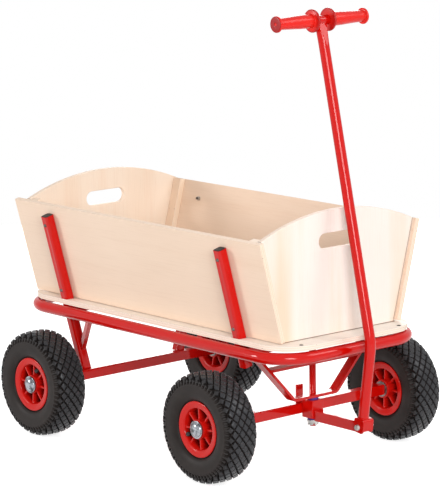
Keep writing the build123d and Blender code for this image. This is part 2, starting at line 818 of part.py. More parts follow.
# Handle, drawn from the hinge: u runs up the lower stem, v square to it and forward
stem_up = (sin(radians(stem_lean)), 0, cos(radians(stem_lean)))
hinge_plane = Plane(
    origin=(hinge_x, 0, tongue_z),
    x_dir=(cos(radians(stem_lean)), 0, -sin(radians(stem_lean))),
    z_dir=(0, -1, 0),
)
cheek_in = bar / 2 + clevis_gap
cheek_out = cheek_in + clevis_t
web_out = clevis_web_gap + clevis_t
with BuildPart() as clevis:
    with BuildSketch(hinge_plane):
        with Locations(((web_out - clevis_back) / 2, (clevis_top - clevis_low) / 2)):
            RectangleRounded(web_out + clevis_back, clevis_top + clevis_low, clevis_corner)
    extrude(amount=cheek_out, both=True)
    with BuildSketch(hinge_plane):
        with Locations(((clevis_web_gap - 2 * bar) / 2, (clevis_top - clevis_t - 2 * bar) / 2)):
            Rectangle(clevis_web_gap + 2 * bar, clevis_top - clevis_t + 2 * bar)
    extrude(amount=cheek_in, both=True, mode=Mode.SUBTRACT)
    with BuildSketch(hinge_plane):
        with Locations((bar, -bar - clevis_web_low)):
            Rectangle(2 * bar, 2 * bar)
    extrude(amount=cheek_in, both=True, mode=Mode.SUBTRACT)
    with BuildSketch(hinge_plane):
        Circle(hinge_d / 2 + pin_gap)
    extrude(amount=2 * bar, both=True, mode=Mode.SUBTRACT)
save(clevis.part, "handle_clevis")

stem_foot = Vector(hinge_x, 0, tongue_z) + Vector(*stem_up) * clevis_top
with BuildPart() as stem:
    with BuildLine():
        FilletPolyline(
            stem_foot,
            (bend_x, 0, bend_z),
            (crossbar_x, 0, crossbar_z),
            radius=stem_bend_r,
        )
    with BuildSketch(Plane(stem_foot, x_dir=(0, 1, 0), z_dir=stem_up)):
        Circle(stem_d / 2)
        Circle(stem_d / 2 - stem_wall, mode=Mode.SUBTRACT)
    sweep()
    with Locations((crossbar_x, 0, crossbar_z)):
        Cylinder(crossbar_d / 2 + weld_gap, 4 * stem_d, rotation=(90, 0, 0), mode=Mode.SUBTRACT)
save(stem.part, "handle_stem")

crossbar_half = grip_outer - grip_cap_t - grip_gap
with BuildPart() as crossbar:
    with BuildSketch(Plane.XZ.offset(-crossbar_half)):
        with Locations((crossbar_x, crossbar_z)):
            Circle(crossbar_d / 2)
            Circle(crossbar_d / 2 - crossbar_wall, mode=Mode.SUBTRACT)
    extrude(amount=2 * crossbar_half)
save(crossbar.part, "handle_crossbar")

grip_bore = crossbar_d / 2 + grip_gap
for side, hand in ((1, "left"), (-1, "right")):
    grip_plane = Plane(
        origin=(crossbar_x, 0, crossbar_z),
        x_dir=(0, 0, 1),
        z_dir=(-side, 0, 0),
    )
    body_start = grip_inner + grip_disc_t
    body_end = grip_outer - grip_rim_t
    with BuildPart() as grip:
        with BuildSketch(grip_plane):
            with BuildLine():
                Polyline(
                    (0, grip_outer),
                    (0, grip_outer - grip_cap_t),
                    (grip_bore, grip_outer - grip_cap_t),
                    (grip_bore, grip_inner),
                    (grip_disc_r, grip_inner),
                    (grip_disc_r, body_start),
                    (grip_root_r, body_start),
                )
                ThreePointArc(
                    (grip_root_r, body_start),
                    (grip_mid_r, (body_start + body_end) / 2),
                    (grip_end_r, body_end),
                )
                Polyline(
                    (grip_end_r, body_end),
                    (grip_rim_r, body_end),
                    (grip_rim_r, grip_outer),
                    (0, grip_outer),
                )
            make_face()
        revolve(axis=Axis((crossbar_x, 0, crossbar_z), (0, 1, 0)))
    save(grip.part, f"{hand}_grip")

head_y = cheek_out
with BuildPart() as hinge_bolt:
    with BuildSketch(Plane.XZ.offset(head_y)):
        with Locations((hinge_x, tongue_z)):
            Circle(hinge_head_d / 2)
    extrude(amount=hinge_head_h, taper=20)
    with BuildSketch(Plane.XZ.offset(head_y)):
        with Locations((hinge_x, tongue_z)):
            Circle(hinge_d / 2)
    extrude(amount=-(2 * cheek_out + hinge_nut_t + hinge_tail))
save(hinge_bolt.part, "hinge_bolt")

with BuildPart() as hinge_nut:
    with BuildSketch(Plane.XZ.offset(-head_y)):
        with Locations((hinge_x, tongue_z)):
            RegularPolygon(hinge_head_d / 2, 6, major_radius=False)
            Circle(hinge_d / 2 + pin_gap, mode=Mode.SUBTRACT)
    extrude(amount=-hinge_nut_t)
save(hinge_nut.part, "hinge_nut")
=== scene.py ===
import json
import math
import bpy
import bmesh
import numpy as np
from mathutils import Matrix, Vector


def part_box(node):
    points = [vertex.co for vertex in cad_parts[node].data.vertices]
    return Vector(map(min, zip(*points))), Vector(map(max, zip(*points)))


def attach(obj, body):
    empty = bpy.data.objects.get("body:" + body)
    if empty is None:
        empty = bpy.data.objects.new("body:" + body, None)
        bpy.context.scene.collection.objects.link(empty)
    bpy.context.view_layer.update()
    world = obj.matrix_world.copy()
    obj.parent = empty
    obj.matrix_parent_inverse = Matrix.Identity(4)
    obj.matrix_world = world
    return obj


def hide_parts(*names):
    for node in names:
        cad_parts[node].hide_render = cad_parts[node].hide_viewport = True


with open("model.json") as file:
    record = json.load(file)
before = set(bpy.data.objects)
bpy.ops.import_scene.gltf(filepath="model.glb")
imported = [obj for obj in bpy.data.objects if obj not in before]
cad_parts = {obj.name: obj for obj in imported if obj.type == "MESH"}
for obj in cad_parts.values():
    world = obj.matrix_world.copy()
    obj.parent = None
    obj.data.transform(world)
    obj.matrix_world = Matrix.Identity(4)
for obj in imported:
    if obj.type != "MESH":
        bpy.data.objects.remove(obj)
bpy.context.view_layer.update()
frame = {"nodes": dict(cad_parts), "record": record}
record = frame["record"]
jointPlace = {j["name"]: Vector(j["pos_m"]) for j in record["behaviour"]["joints"] if "pos_m" in j}
bodyOf = {n: b for b, nodes in record["behaviour"]["bodies"].items() for n in nodes}
slotOf = {p["node"]: p["material_slot"] for p in record["subparts"]}
frontAxle = jointPlace["front_right_spin"].x
mm = 0.001
print("frame loaded, front axle at", round(frontAxle, 4))


# node helpers for the finishes
def newMaterial(name, colour, roughness, metallic=0.0):
    material = bpy.data.materials.new(name)
    material.use_nodes = True
    tree = material.node_tree
    shader = tree.nodes["Principled BSDF"]
    shader.inputs["Base Color"].default_value = (*colour, 1)
    shader.inputs["Roughness"].default_value = roughness
    shader.inputs["Metallic"].default_value = metallic
    return material, tree, shader


def objectCoords(tree, turn=(0, 0, 0)):
    coords = tree.nodes.new("ShaderNodeTexCoord")
    mapping = tree.nodes.new("ShaderNodeMapping")
    mapping.inputs["Rotation"].default_value = turn
    tree.links.new(coords.outputs["Object"], mapping.inputs["Vector"])
    return coords, mapping.outputs["Vector"]


def vectorMath(tree, operation, vector, values):
    node = tree.nodes.new("ShaderNodeVectorMath")
    node.operation = operation
    node.inputs[1].default_value = values
    tree.links.new(vector, node.inputs[0])
    return node.outputs["Value"] if operation == "DOT_PRODUCT" else node.outputs["Vector"]


def noiseTexture(tree, vector, scale, detail=4, roughness=0.55):
    noise = tree.nodes.new("ShaderNodeTexNoise")
    noise.inputs["Scale"].default_value = scale
    noise.inputs["Detail"].default_value = detail
    noise.inputs["Roughness"].default_value = roughness
    tree.links.new(vector, noise.inputs["Vector"])
    return noise.outputs["Fac"]


def colourRamp(tree, fac, places, colours):
    ramp = tree.nodes.new("ShaderNodeValToRGB")
    elements = ramp.color_ramp.elements
    while len(elements) < len(places):
        elements.new(0.5)
    for element, place, colour in zip(elements, places, colours):
        element.position = place
        element.color = (*colour, 1)
    tree.links.new(fac, ramp.inputs["Fac"])
    return ramp.outputs["Color"]


def mapRange(tree, value, low, high, start=0.0, stop=1.0):
    node = tree.nodes.new("ShaderNodeMapRange")
    for socket, number in (("From Min", start), ("From Max", stop), ("To Min", low), ("To Max", high)):
        node.inputs[socket].default_value = number
    tree.links.new(value, node.inputs["Value"])
    return node.outputs["Result"]


def mixColour(tree, fac, first, second, blend="MIX"):
    node = tree.nodes.new("ShaderNodeMix")
    node.data_type = "RGBA"
    node.blend_type = blend
    for socket, value in ((node.inputs[0], fac), (node.inputs[6], first), (node.inputs[7], second)):
        if isinstance(value, (int, float)):
            socket.default_value = value
        elif isinstance(value, tuple):
            socket.default_value = (*value, 1)
        else:
            tree.links.new(value, socket)
    return node.outputs[2]


def mathNode(tree, operation, first, second=0.0):
    node = tree.nodes.new("ShaderNodeMath")
    node.operation = operation
    for socket, value in ((node.inputs[0], first), (node.inputs[1], second)):
        if isinstance(value, (int, float)):
            socket.default_value = value
        else:
            tree.links.new(value, socket)
    return node.outputs[0]


def attribute(tree, name):
    node = tree.nodes.new("ShaderNodeAttribute")
    node.attribute_name = name
    return node.outputs["Fac"]


def addBump(tree, shader, height, strength, distance):
    bump = tree.nodes.new("ShaderNodeBump")
    bump.inputs["Strength"].default_value = strength
    bump.inputs["Distance"].default_value = distance
    tree.links.new(height, bump.inputs["Height"])
    tree.links.new(bump.outputs["Normal"], shader.inputs["Normal"])


def shade(colour, factor):
    return tuple(min(1, c * factor) for c in colour)


# red powder coat and the two red plastics: an even deep red, a faint orange peel and a clear gloss; a
# number on each point of a piece marks painted shade, where the red is deeper, in a rim's pockets and on a
# grip's disc edges and ends
paintCoat = {"red": (0.58, 0.003, 0.001), "spread": 0.04, "rough": (0.26, 0.34), "specular": 0.04,
             "coat": 0.50, "coatRough": 0.05, "peelScale": 260, "peel": 0.03}
rimPlastic = {"red": (0.57, 0.007, 0.004), "spread": 0.04, "rough": (0.24, 0.34), "specular": 0.10,
              "coat": 0.25, "coatRough": 0.10, "peelScale": 400, "peel": 0.03,
              "shadedRed": (0.27, 0.004, 0.002)}
gripPlastic = {"red": (0.74, 0.016, 0.010), "spread": 0.04, "rough": (0.30, 0.40), "specular": 0.16,
               "coat": 0.15, "coatRough": 0.14, "peelScale": 300, "peel": 0.05,
               "shadedRed": (0.30, 0.006, 0.007)}
redCloud = {"scale": 11, "detail": 3, "stops": (0.3, 0.7), "dullScale": 160, "dullDetail": 6, "peelDetail": 2,
            "peelDeep": 0.0003}


def glossRed(name, spec):
    material, tree, shader = newMaterial(name, spec["red"], spec["rough"][0])
    vector = objectCoords(tree)[1]
    cloud = noiseTexture(tree, vector, redCloud["scale"], redCloud["detail"])
    tints = shade(spec["red"], 1 - spec["spread"]), shade(spec["red"], 1 + spec["spread"])
    colour = colourRamp(tree, cloud, redCloud["stops"], tints)
    if "shadedRed" in spec:
        colour = mixColour(tree, attribute(tree, "paintedShade"), colour, spec["shadedRed"])
    tree.links.new(colour, shader.inputs["Base Color"])
    dull = noiseTexture(tree, vector, redCloud["dullScale"], redCloud["dullDetail"])
    tree.links.new(mapRange(tree, dull, *spec["rough"]), shader.inputs["Roughness"])
    shader.inputs["Specular IOR Level"].default_value = spec["specular"]
    shader.inputs["Coat Weight"].default_value = spec["coat"]
    shader.inputs["Coat Roughness"].default_value = spec["coatRough"]
    peel = noiseTexture(tree, vector, spec["peelScale"], redCloud["peelDetail"])
    addBump(tree, shader, peel, spec["peel"], redCloud["peelDeep"])
    return material


# birch plywood: pale rotary-cut faces with faint cathedral grain, soft peach streaks and layered edges
# painted light: the tones are set apart for each panel, the floor and the battens, each raised or lowered to
# the brightness that the light gives its face; the front is paler where the light falls hardest
birch = {
    "side": {"light": (0.885, 0.695, 0.548), "dark": (0.858, 0.656, 0.506), "streak": 0.10, "seed": 3.1},
    "front": {"light": (0.888, 0.803, 0.738), "dark": (0.870, 0.745, 0.642), "streak": 0.80, "seed": 7.3},
    "rear": {"light": (0.905, 0.765, 0.635), "dark": (0.875, 0.700, 0.560), "streak": 0.30, "seed": 11.9},
    "floor": {"light": (0.915, 0.848, 0.772), "dark": (0.890, 0.795, 0.695), "streak": 0.15, "seed": 17.7},
    "batten": {"light": (0.900, 0.745, 0.595), "dark": (0.860, 0.680, 0.515), "streak": 0.20, "seed": 23.3},
}
plyFace = {"peach": (0.860, 0.625, 0.450), "peachFrom": (0.50, 0.72), "grainStops": (0.30, 0.48, 0.85),
           "brightest": 1.02, "poreTint": (0.93, 0.91, 0.89), "poreStops": (0.28, 0.50), "poreShare": 0.55,
           "cloudTint": (0.965, 0.95, 0.935), "cloudStops": (0.35, 0.65), "cloudShare": 0.6,
           "rough": (0.46, 0.62), "specular": 0.25, "poreBump": (0.10, 0.0005), "seedSpread": (1, 0.7, 0.3)}
plyEdge = {"pale": (0.930, 0.765, 0.625), "tan": (0.860, 0.640, 0.480), "glueLine": (0.48, 0.29, 0.19),
           "order": ("pale", "glueLine", "tan", "tan", "glueLine"), "stops": (0.45, 0.48, 0.52, 0.96, 0.99),
           "layers": 5, "layerShift": 40.0, "void": (0.20, 0.12, 0.07), "voidFrom": (0.69, 0.72),
           "voidShare": 0.85, "faceShare": 0.35, "facingUnder": 0.8}
# painted shade: a narrow dark line where a panel meets the board or a side panel
seamShade = {"shadeTint": (0.16, 0.09, 0.05), "share": 0.9, "core": 0.25, "foot": 0.0026, "side": 0.0020}
# each noise of the wood: stretch along and across the grain, then scale, detail and roughness
woodNoise = {"cathedral": ((1.3, 17, 17), 1.1, 5, 0.6), "pore": ((14, 420, 420), 1.0, 3, 0.6),
             "ripple": ((0.8, 8, 8), 1.0, 2, 0.5), "chip": ((55, 55, 160), 1.0, 3, 0.5),
             "cloud": ((1, 1, 1), 4.5, 2, 0.55)}


def plywood(name, spec, normal, offset, thick, grainTurn, seed, seams=()):
    # grain runs along the mapped x axis; layers are stripes along the panel's own normal, two to a wave;
    # seams are planes that the panel meets, each a direction, a distance and a width, where painted shade
    # darkens it
    material, tree, shader = newMaterial(name, spec["light"], plyFace["rough"][0])
    coords, vector = objectCoords(tree, grainTurn)
    vector = vectorMath(tree, "ADD", vector, tuple(seed * k for k in plyFace["seedSpread"]))

    def along(direction):
        return vectorMath(tree, "DOT_PRODUCT", coords.outputs["Object"], direction)

    def wood(kind):
        stretch, *rest = woodNoise[kind]
        return noiseTexture(tree, vectorMath(tree, "MULTIPLY", vector, stretch), *rest)

    pores = wood("pore")
    tints = spec["dark"], spec["light"], shade(spec["light"], plyFace["brightest"])
    face = colourRamp(tree, wood("cathedral"), plyFace["grainStops"], tints)
    streak = mapRange(tree, wood("ripple"), 0.0, spec["streak"], *plyFace["peachFrom"])
    face = mixColour(tree, streak, face, plyFace["peach"])
    for kind, noise in (("pore", pores), ("cloud", wood("cloud"))):
        tint = colourRamp(tree, noise, plyFace[f"{kind}Stops"], (plyFace[f"{kind}Tint"], (1, 1, 1)))
        face = mixColour(tree, plyFace[f"{kind}Share"], face, tint, "MULTIPLY")
    depth = mathNode(tree, "SUBTRACT", along(normal), offset)
    layer = mathNode(tree, "MULTIPLY", depth, plyEdge["layers"] / thick)
    layer = mathNode(tree, "ADD", layer, plyEdge["layerShift"])
    wave = mathNode(tree, "FRACT", mathNode(tree, "MULTIPLY", layer, 0.5))
    edge = colourRamp(tree, wave, plyEdge["stops"], [plyEdge[k] for k in plyEdge["order"]])
    void = mapRange(tree, wood("chip"), 0.0, plyEdge["voidShare"], *plyEdge["voidFrom"])
    edge = mixColour(tree, void, edge, plyEdge["void"])
    edge = mixColour(tree, plyEdge["faceShare"], edge, spec["light"])
    facing = mathNode(tree, "ABSOLUTE", vectorMath(tree, "DOT_PRODUCT", coords.outputs["Normal"], normal))
    onEdge = mathNode(tree, "LESS_THAN", facing, plyEdge["facingUnder"])
    colour = mixColour(tree, onEdge, face, edge)
    # painted shade along each seam
    for direction, distance, wide in seams:
        away = mathNode(tree, "ABSOLUTE", mathNode(tree, "SUBTRACT", along(direction), distance - wide / 2))
        seamShadeShare = mapRange(tree, away, seamShade["share"], 0.0, wide * seamShade["core"], wide / 2)
        colour = mixColour(tree, seamShadeShare, colour, seamShade["shadeTint"])
    tree.links.new(colour, shader.inputs["Base Color"])
    tree.links.new(mapRange(tree, pores, *plyFace["rough"]), shader.inputs["Roughness"])
    shader.inputs["Specular IOR Level"].default_value = plyFace["specular"]
    addBump(tree, shader, pores, *plyFace["poreBump"])
    return material


panelThick = 12 * mm
lean = math.radians(15)
sideNormal = {side: (0, side * math.cos(lean), -math.sin(lean)) for side in (1, -1)}
ownFinish = {}
boardLow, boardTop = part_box("floor_board")[0][2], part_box("floor_board")[1][2]
footSeam = ((0, 0, -1), -boardTop, seamShade["foot"])
endSeams = [footSeam]
for side, hand in ((1, "left"), (-1, "right")):
    low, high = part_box(f"{hand}_side_panel")
    topCorner = Vector((0, side * max(abs(low[1]), abs(high[1])), high[2]))
    outerFace = topCorner.dot(Vector(sideNormal[side]))
    ownFinish[f"{hand}_side_panel"] = plywood(
        f"{hand}_birch_plywood", birch["side"], sideNormal[side], outerFace, panelThick, (side * lean, 0, 0),
        birch["side"]["seed"] + side, [footSeam])
    endSeams.append((sideNormal[side], outerFace - panelThick, seamShade["side"]))
upright = (0, math.pi / 2, 0)
for end in ("front", "rear"):
    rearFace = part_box(f"{end}_panel")[0][0]
    ownFinish[f"{end}_panel"] = plywood(f"{end}_birch_plywood", birch[end], (1, 0, 0), rearFace, panelThick,
                                        upright, birch[end]["seed"], endSeams)
floorPly = plywood("floor_birch_plywood", birch["floor"], (0, 0, 1), boardLow, panelThick, (0, 0, 0),
                   birch["floor"]["seed"])
# a batten is one piece of wood, so its layers are too thick to show a glue line
solidThick = 4.0
battenWood = plywood("planed_batten_wood", birch["batten"], (1, 0, 0), 0, solidThick, upright,
                     birch["batten"]["seed"])

# plated, pressed and ground steel: fine brushed scratches over a slightly clouded plate
dullPlate = {"rough": (0.35, 0.55), "brush": (3, 3, 3), "cloud": (160, 0.55)}
screwPlate = {"grey": (0.025, 0.025, 0.025), **dullPlate}
boltPlate = {"grey": (0.17, 0.14, 0.13), **dullPlate}
# painted shade: the washers at the hubs get a darker steel, for the shade where the axle meets the hub
shadedWasherPlate = {"grey": (0.26, 0.25, 0.24), **dullPlate}
zincPlate = {"grey": (0.54, 0.53, 0.51), "rough": (0.26, 0.46), "brush": (1, 6, 6), "cloud": (220, 0.80)}
# painted reflection: the cap's darker grey and its deep dark blots stand for dark things mirrored in the
# bright cap
capPlateAndReflection = {"grey": (0.34, 0.36, 0.39), "rough": (0.06, 0.16), "brush": (3, 3, 3), "cloud": (75, 0.22)}
# painted shade: the bearings get a dark steel, for the shade where the axle meets the hub
shadedBearingPlate = {"grey": (0.12, 0.12, 0.125), "rough": (0.25, 0.40), "brush": (3, 3, 3), "cloud": (220, 0.80)}
plateNoise = {"scratchScale": 60, "scratchDetail": 4, "bump": (0.08, 0.0003), "cloudDetail": 3,
              "cloudStops": (0.38, 0.56)}


def platedSteel(name, spec):
    material, tree, shader = newMaterial(name, spec["grey"], spec["rough"][0], metallic=1.0)
    vector = objectCoords(tree)[1]
    brushed = vectorMath(tree, "MULTIPLY", vector, spec["brush"])
    scratches = noiseTexture(tree, brushed, plateNoise["scratchScale"], plateNoise["scratchDetail"])
    tree.links.new(mapRange(tree, scratches, *spec["rough"]), shader.inputs["Roughness"])
    cloudScale, darkest = spec["cloud"]
    cloud = noiseTexture(tree, vector, cloudScale, plateNoise["cloudDetail"])
    tints = shade(spec["grey"], darkest), spec["grey"]
    tree.links.new(colourRamp(tree, cloud, plateNoise["cloudStops"], tints), shader.inputs["Base Color"])
    addBump(tree, shader, scratches, *plateNoise["bump"])
    return material


# moulded rubbers and nylon: a base colour with dusty patches, and a fine moulded grain; a number on a tyre
# marks the tops of its blocks, smoother from wear and greyer, partly from wear and partly as a painted sheen
tyreSkin = {"low": (0.0095, 0.0062, 0.0052), "mid": (0.0140, 0.0095, 0.0080), "high": (0.021, 0.0155, 0.0135),
            "patch": 34, "rough": (0.46, 0.54), "grain": (700, 0.06), "specular": 0.18,
            "wornAndSheenTint": (0.034, 0.0345, 0.038), "wornRough": 0.24}
tubeSkin = {"low": (0.016, 0.016, 0.016), "mid": (0.022, 0.022, 0.022), "high": (0.032, 0.032, 0.032),
            "patch": 60, "rough": (0.42, 0.60), "grain": (900, 0.15), "specular": 0.3}
nylonSkin = {"low": (0.060, 0.018, 0.20), "mid": (0.078, 0.024, 0.25), "high": (0.100, 0.032, 0.31),
             "patch": 90, "rough": (0.38, 0.52), "grain": (800, 0.10), "specular": 0.4}
skinNoise = {"patchDetail": 6, "patchStops": (0.30, 0.56, 0.80), "dullScale": 240, "dullDetail": 4,
             "grainDetail": 3, "grainDeep": 0.0004}


def mouldedSkin(name, spec):
    material, tree, shader = newMaterial(name, spec["mid"], spec["rough"][0])
    vector = objectCoords(tree)[1]
    patches = noiseTexture(tree, vector, spec["patch"], skinNoise["patchDetail"])
    tints = spec["low"], spec["mid"], spec["high"]
    colour = colourRamp(tree, patches, skinNoise["patchStops"], tints)
    dull = noiseTexture(tree, vector, skinNoise["dullScale"], skinNoise["dullDetail"])
    rough = mapRange(tree, dull, *spec["rough"])
    if "wornAndSheenTint" in spec:
        wornAndSheen = attribute(tree, "wornAndSheen")
        colour = mixColour(tree, wornAndSheen, colour, spec["wornAndSheenTint"])
        polish = mathNode(tree, "MULTIPLY", wornAndSheen, spec["rough"][0] - spec["wornRough"])
        rough = mathNode(tree, "SUBTRACT", rough, polish)
    tree.links.new(colour, shader.inputs["Base Color"])
    tree.links.new(rough, shader.inputs["Roughness"])
    shader.inputs["Specular IOR Level"].default_value = spec["specular"]
    grainScale, grainStrength = spec["grain"]
    grain = noiseTexture(tree, vector, grainScale, skinNoise["grainDetail"])
    addBump(tree, shader, grain, grainStrength, skinNoise["grainDeep"])
    return material


# painted shade: darker steel on the washers of both axles
for end in ("front", "rear"):
    ownFinish[f"{end}_axle_washers"] = platedSteel(f"dull_{end}_washer_steel_painted_shade", shadedWasherPlate)
ownFinish["panel_bolts"] = platedSteel("dull_bolt_steel", boltPlate)
finishes = {
    "red_paint": glossRed("red_powder_coat", paintCoat),
    "red_rim": glossRed("red_rim_plastic", rimPlastic),
    "red_grip": glossRed("red_grip_plastic", gripPlastic),
    "birch_plywood": floorPly,
    "pine": battenWood,
    "zinc_steel": platedSteel("zinc_plated_steel", zincPlate),
    "bright_cap": platedSteel("bright_cap_steel", capPlateAndReflection),
    "bearing_steel": platedSteel("shaded_bearing_steel", shadedBearingPlate),
    "tyre_rubber": mouldedSkin("tyre_rubber", tyreSkin),
    "tube_rubber": mouldedSkin("butyl_tube_rubber", tubeSkin),
    "purple_nylon": mouldedSkin("purple_nylon", nylonSkin),
}


def finishFor(node):
    return ownFinish.get(node, finishes[slotOf[node]])


def putOn(piece, node):
    piece.data.materials.clear()
    piece.data.materials.append(finishFor(node))
    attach(piece, bodyOf[node])
    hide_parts(node)


for node, piece in frame["nodes"].items():
    piece.data.materials.clear()
    piece.data.materials.append(finishFor(node))
print("finishes set on", len(frame["nodes"]), "nodes")


# mesh helpers
mergeGap = 1e-6
# the part of a side that one rounded corner may take up
cornerShare = 0.48


def newPiece(name, mesh, sharpAngle):
    # doubles merged, normals outward, smooth except at edges sharper than the angle
    work = bmesh.new()
    work.from_mesh(mesh)
    bmesh.ops.remove_doubles(work, verts=work.verts, dist=mergeGap)
    bmesh.ops.recalc_face_normals(work, faces=work.faces)
    work.to_mesh(mesh)
    work.free()
    mesh.shade_smooth()
    mesh.set_sharp_from_angle(angle=math.radians(sharpAngle))
    piece = bpy.data.objects.new(name, mesh)
    bpy.context.collection.objects.link(piece)
    return piece


def gridFaces(rows, cols, closeRows, closeCols, first=0):
    # quads of a grid of points, joined up along either way where it closes on itself
    index = first + np.arange(rows * cols).reshape(rows, cols)
    if closeRows:
        index = np.concatenate([index, index[:1]], axis=0)
    if closeCols:
        index = np.concatenate([index, index[:, :1]], axis=1)
    corners = [index[:-1, :-1], index[1:, :-1], index[1:, 1:], index[:-1, 1:]]
    return np.stack(corners, axis=-1).reshape(-1, 4)


def gridPiece(name, grids, closeRows=True, closeCols=True, sharpAngle=50, values=()):
    # one piece out of one or more grids of points, each rows by columns by xyz; values are named numbers,
    # one for each point, that the finish reads
    faces, first = [], 0
    for grid in grids:
        faces.append(gridFaces(*grid.shape[:2], closeRows, closeCols, first))
        first += grid.shape[0] * grid.shape[1]
    points = np.concatenate([grid.reshape(-1, 3) for grid in grids])
    mesh = bpy.data.meshes.new(name)
    mesh.from_pydata(points.tolist(), [], np.concatenate(faces).tolist())
    for label, numbers in values:
        mesh.attributes.new(label, "FLOAT", "POINT").data.foreach_set("value", numbers.ravel())
    return newPiece(name, mesh, sharpAngle)


def roundedOutline(corners, radii, steps=6):
    # closed outline: each corner becomes a quadratic curve between two points on its sides, the radius away
    corner = np.array(corners, float)
    reach = np.array(radii, float)[:, None]
    toLast = np.roll(corner, 1, axis=0) - corner
    toNext = np.roll(corner, -1, axis=0) - corner
    lastLength = np.linalg.norm(toLast, axis=1, keepdims=True)
    nextLength = np.linalg.norm(toNext, axis=1, keepdims=True)
    start = corner + toLast * np.minimum(reach / lastLength, cornerShare)
    stop = corner + toNext * np.minimum(reach / nextLength, cornerShare)
    t = np.linspace(0, 1, steps)[None, :, None]
    curve = (1 - t) ** 2 * start[:, None] + 2 * t * (1 - t) * corner[:, None] + t ** 2 * stop[:, None]
    return curve.reshape(-1, 2)


def fillIn(outline, gap):
    # closed outline with points added so that no two neighbours are further apart than the gap
    ring = np.concatenate([outline, outline[:1]])
    run = np.concatenate([[0], np.cumsum(np.linalg.norm(np.diff(ring, axis=0), axis=1))])
    places = np.unique(np.round(np.concatenate([run, np.arange(0, run[-1], gap)]), 7))[:-1]
    return np.stack([np.interp(places, run, ring[:, k]) for k in (0, 1)], axis=1)


def turned(outline, centre, axis, around):
    # outline of radius and height turned round an axis through the centre
    axis = Vector(axis).normalized()
    sideA = axis.orthogonal().normalized()
    sideB = axis.cross(sideA)
    angle = np.linspace(0, 2 * np.pi, around, endpoint=False)[:, None, None]
    radius, height = outline[None, :, :1], outline[None, :, 1:]
    ring = np.cos(angle) * np.array(sideA) + np.sin(angle) * np.array(sideB)
    return np.array(centre) + radius * ring + height * np.array(axis)


def smoothstep(low, high, value):
    t = np.clip((value - low) / (high - low), 0, 1)
    return t * t * (3 - 2 * t)


# CAD nodes with the right shape: a merged copy, smooth on its curves, with a narrow bevel where sides meet
easedWidth = {
    "left_side_panel": 1.2, "right_side_panel": 1.2, "front_panel": 1.4, "rear_panel": 1.4,
    "floor_board": 1.2, "panel_battens": 1.2, "steering_hanger": 0.9, "hanger_brace": 0.9, "stop_tab": 0.8,
    "tongue": 1.2, "kingpin_housing": 0.9, "handle_clevis": 0.8, "castle_nut": 0.5, "hinge_nut": 0.7,
    "panel_nuts": 0.4, "left_rear_brace": 1.2, "right_rear_brace": 1.2, "front_bolster": 1.4,
    "rear_cross_tube": 1.4, "kingpin_washer": 0.3, "front_axle_washers": 0.3, "rear_axle_washers": 0.3,
    "steering_bushes": 0.5,
}
easing = {"segments": 2, "sharpAngle": 32, "flatAngle": 1}
smoothNodes = ["front_rim_tube", "rear_rim_tube", "front_left_stake", "front_right_stake", "rear_left_stake",
               "rear_right_stake", "front_axle_tube", "rear_axle_tube", "kingpin", "handle_crossbar"]


def mergedCopy(node, flat):
    work = bmesh.new()
    work.from_mesh(frame["nodes"][node].data)
    bmesh.ops.remove_doubles(work, verts=work.verts, dist=mergeGap)
    if flat:
        bmesh.ops.dissolve_limit(work, angle_limit=math.radians(easing["flatAngle"]), verts=work.verts,
                                 edges=work.edges)
    mesh = bpy.data.meshes.new(f"{node}_finish")
    work.to_mesh(mesh)
    work.free()
    piece = newPiece(f"{node}_finish", mesh, easing["sharpAngle"])
    putOn(piece, node)
    return piece


for node, width in easedWidth.items():
    bevel = mergedCopy(node, True).modifiers.new("easedEdges", "BEVEL")
    bevel.width = width * mm
    bevel.segments = easing["segments"]
    bevel.limit_method = "ANGLE"
    bevel.angle_limit = math.radians(easing["sharpAngle"])
    bevel.harden_normals = True
for node in smoothNodes:
    mergedCopy(node, False)
print("eased", len(easedWidth), "nodes, smoothed", len(smoothNodes))

# wheels: every piece is worked out in the wheel's own angle, radius and offset, outer face at minus
wheelRoll = {"front_right": 154, "front_left": 20, "rear_right": -63, "rear_left": 100}


def onWheel(corner, angle, radius, offset):
    # turned by the wheel's roll, faced outward and set on its axle
    hub = jointPlace[f"{corner}_spin"]
    way = -1 if corner.endswith("left") else 1
    angle = angle - math.radians(wheelRoll[corner])
    return np.stack(np.broadcast_arrays(hub.x + way * radius * np.cos(angle), hub.y + way * offset,
                                        hub.z + radius * np.sin(angle)), axis=-1)


tyre = {"radius": 130, "halfWidth": 44, "widest": 92, "power": 0.56, "beadRadius": 56.1, "beadHalf": 30.3,
        "beadIn": 21.3, "lipRadius": 68, "lipHalf": 32.3, "blocks": 32, "blockPitch": 20.5,
        "blockHalf": 0.41, "shoulderHalf": 0.355, "shoulderFrom": (30, 42), "blockEase": 0.06, "depth": 4.8,
        "shoulderDepth": 8.2, "treadHalf": 59, "treadFade": 11, "notchFrom": 2.25, "wornAndSheenTo": (30, 50),
        "wornAndSheenLess": 0.75, "ringRadii": (103, 105.5), "ringHeight": 0.45, "ringWidth": 0.8, "around": 768,
        "across": 96, "lipSteps": 14, "fineSteps": 1200}


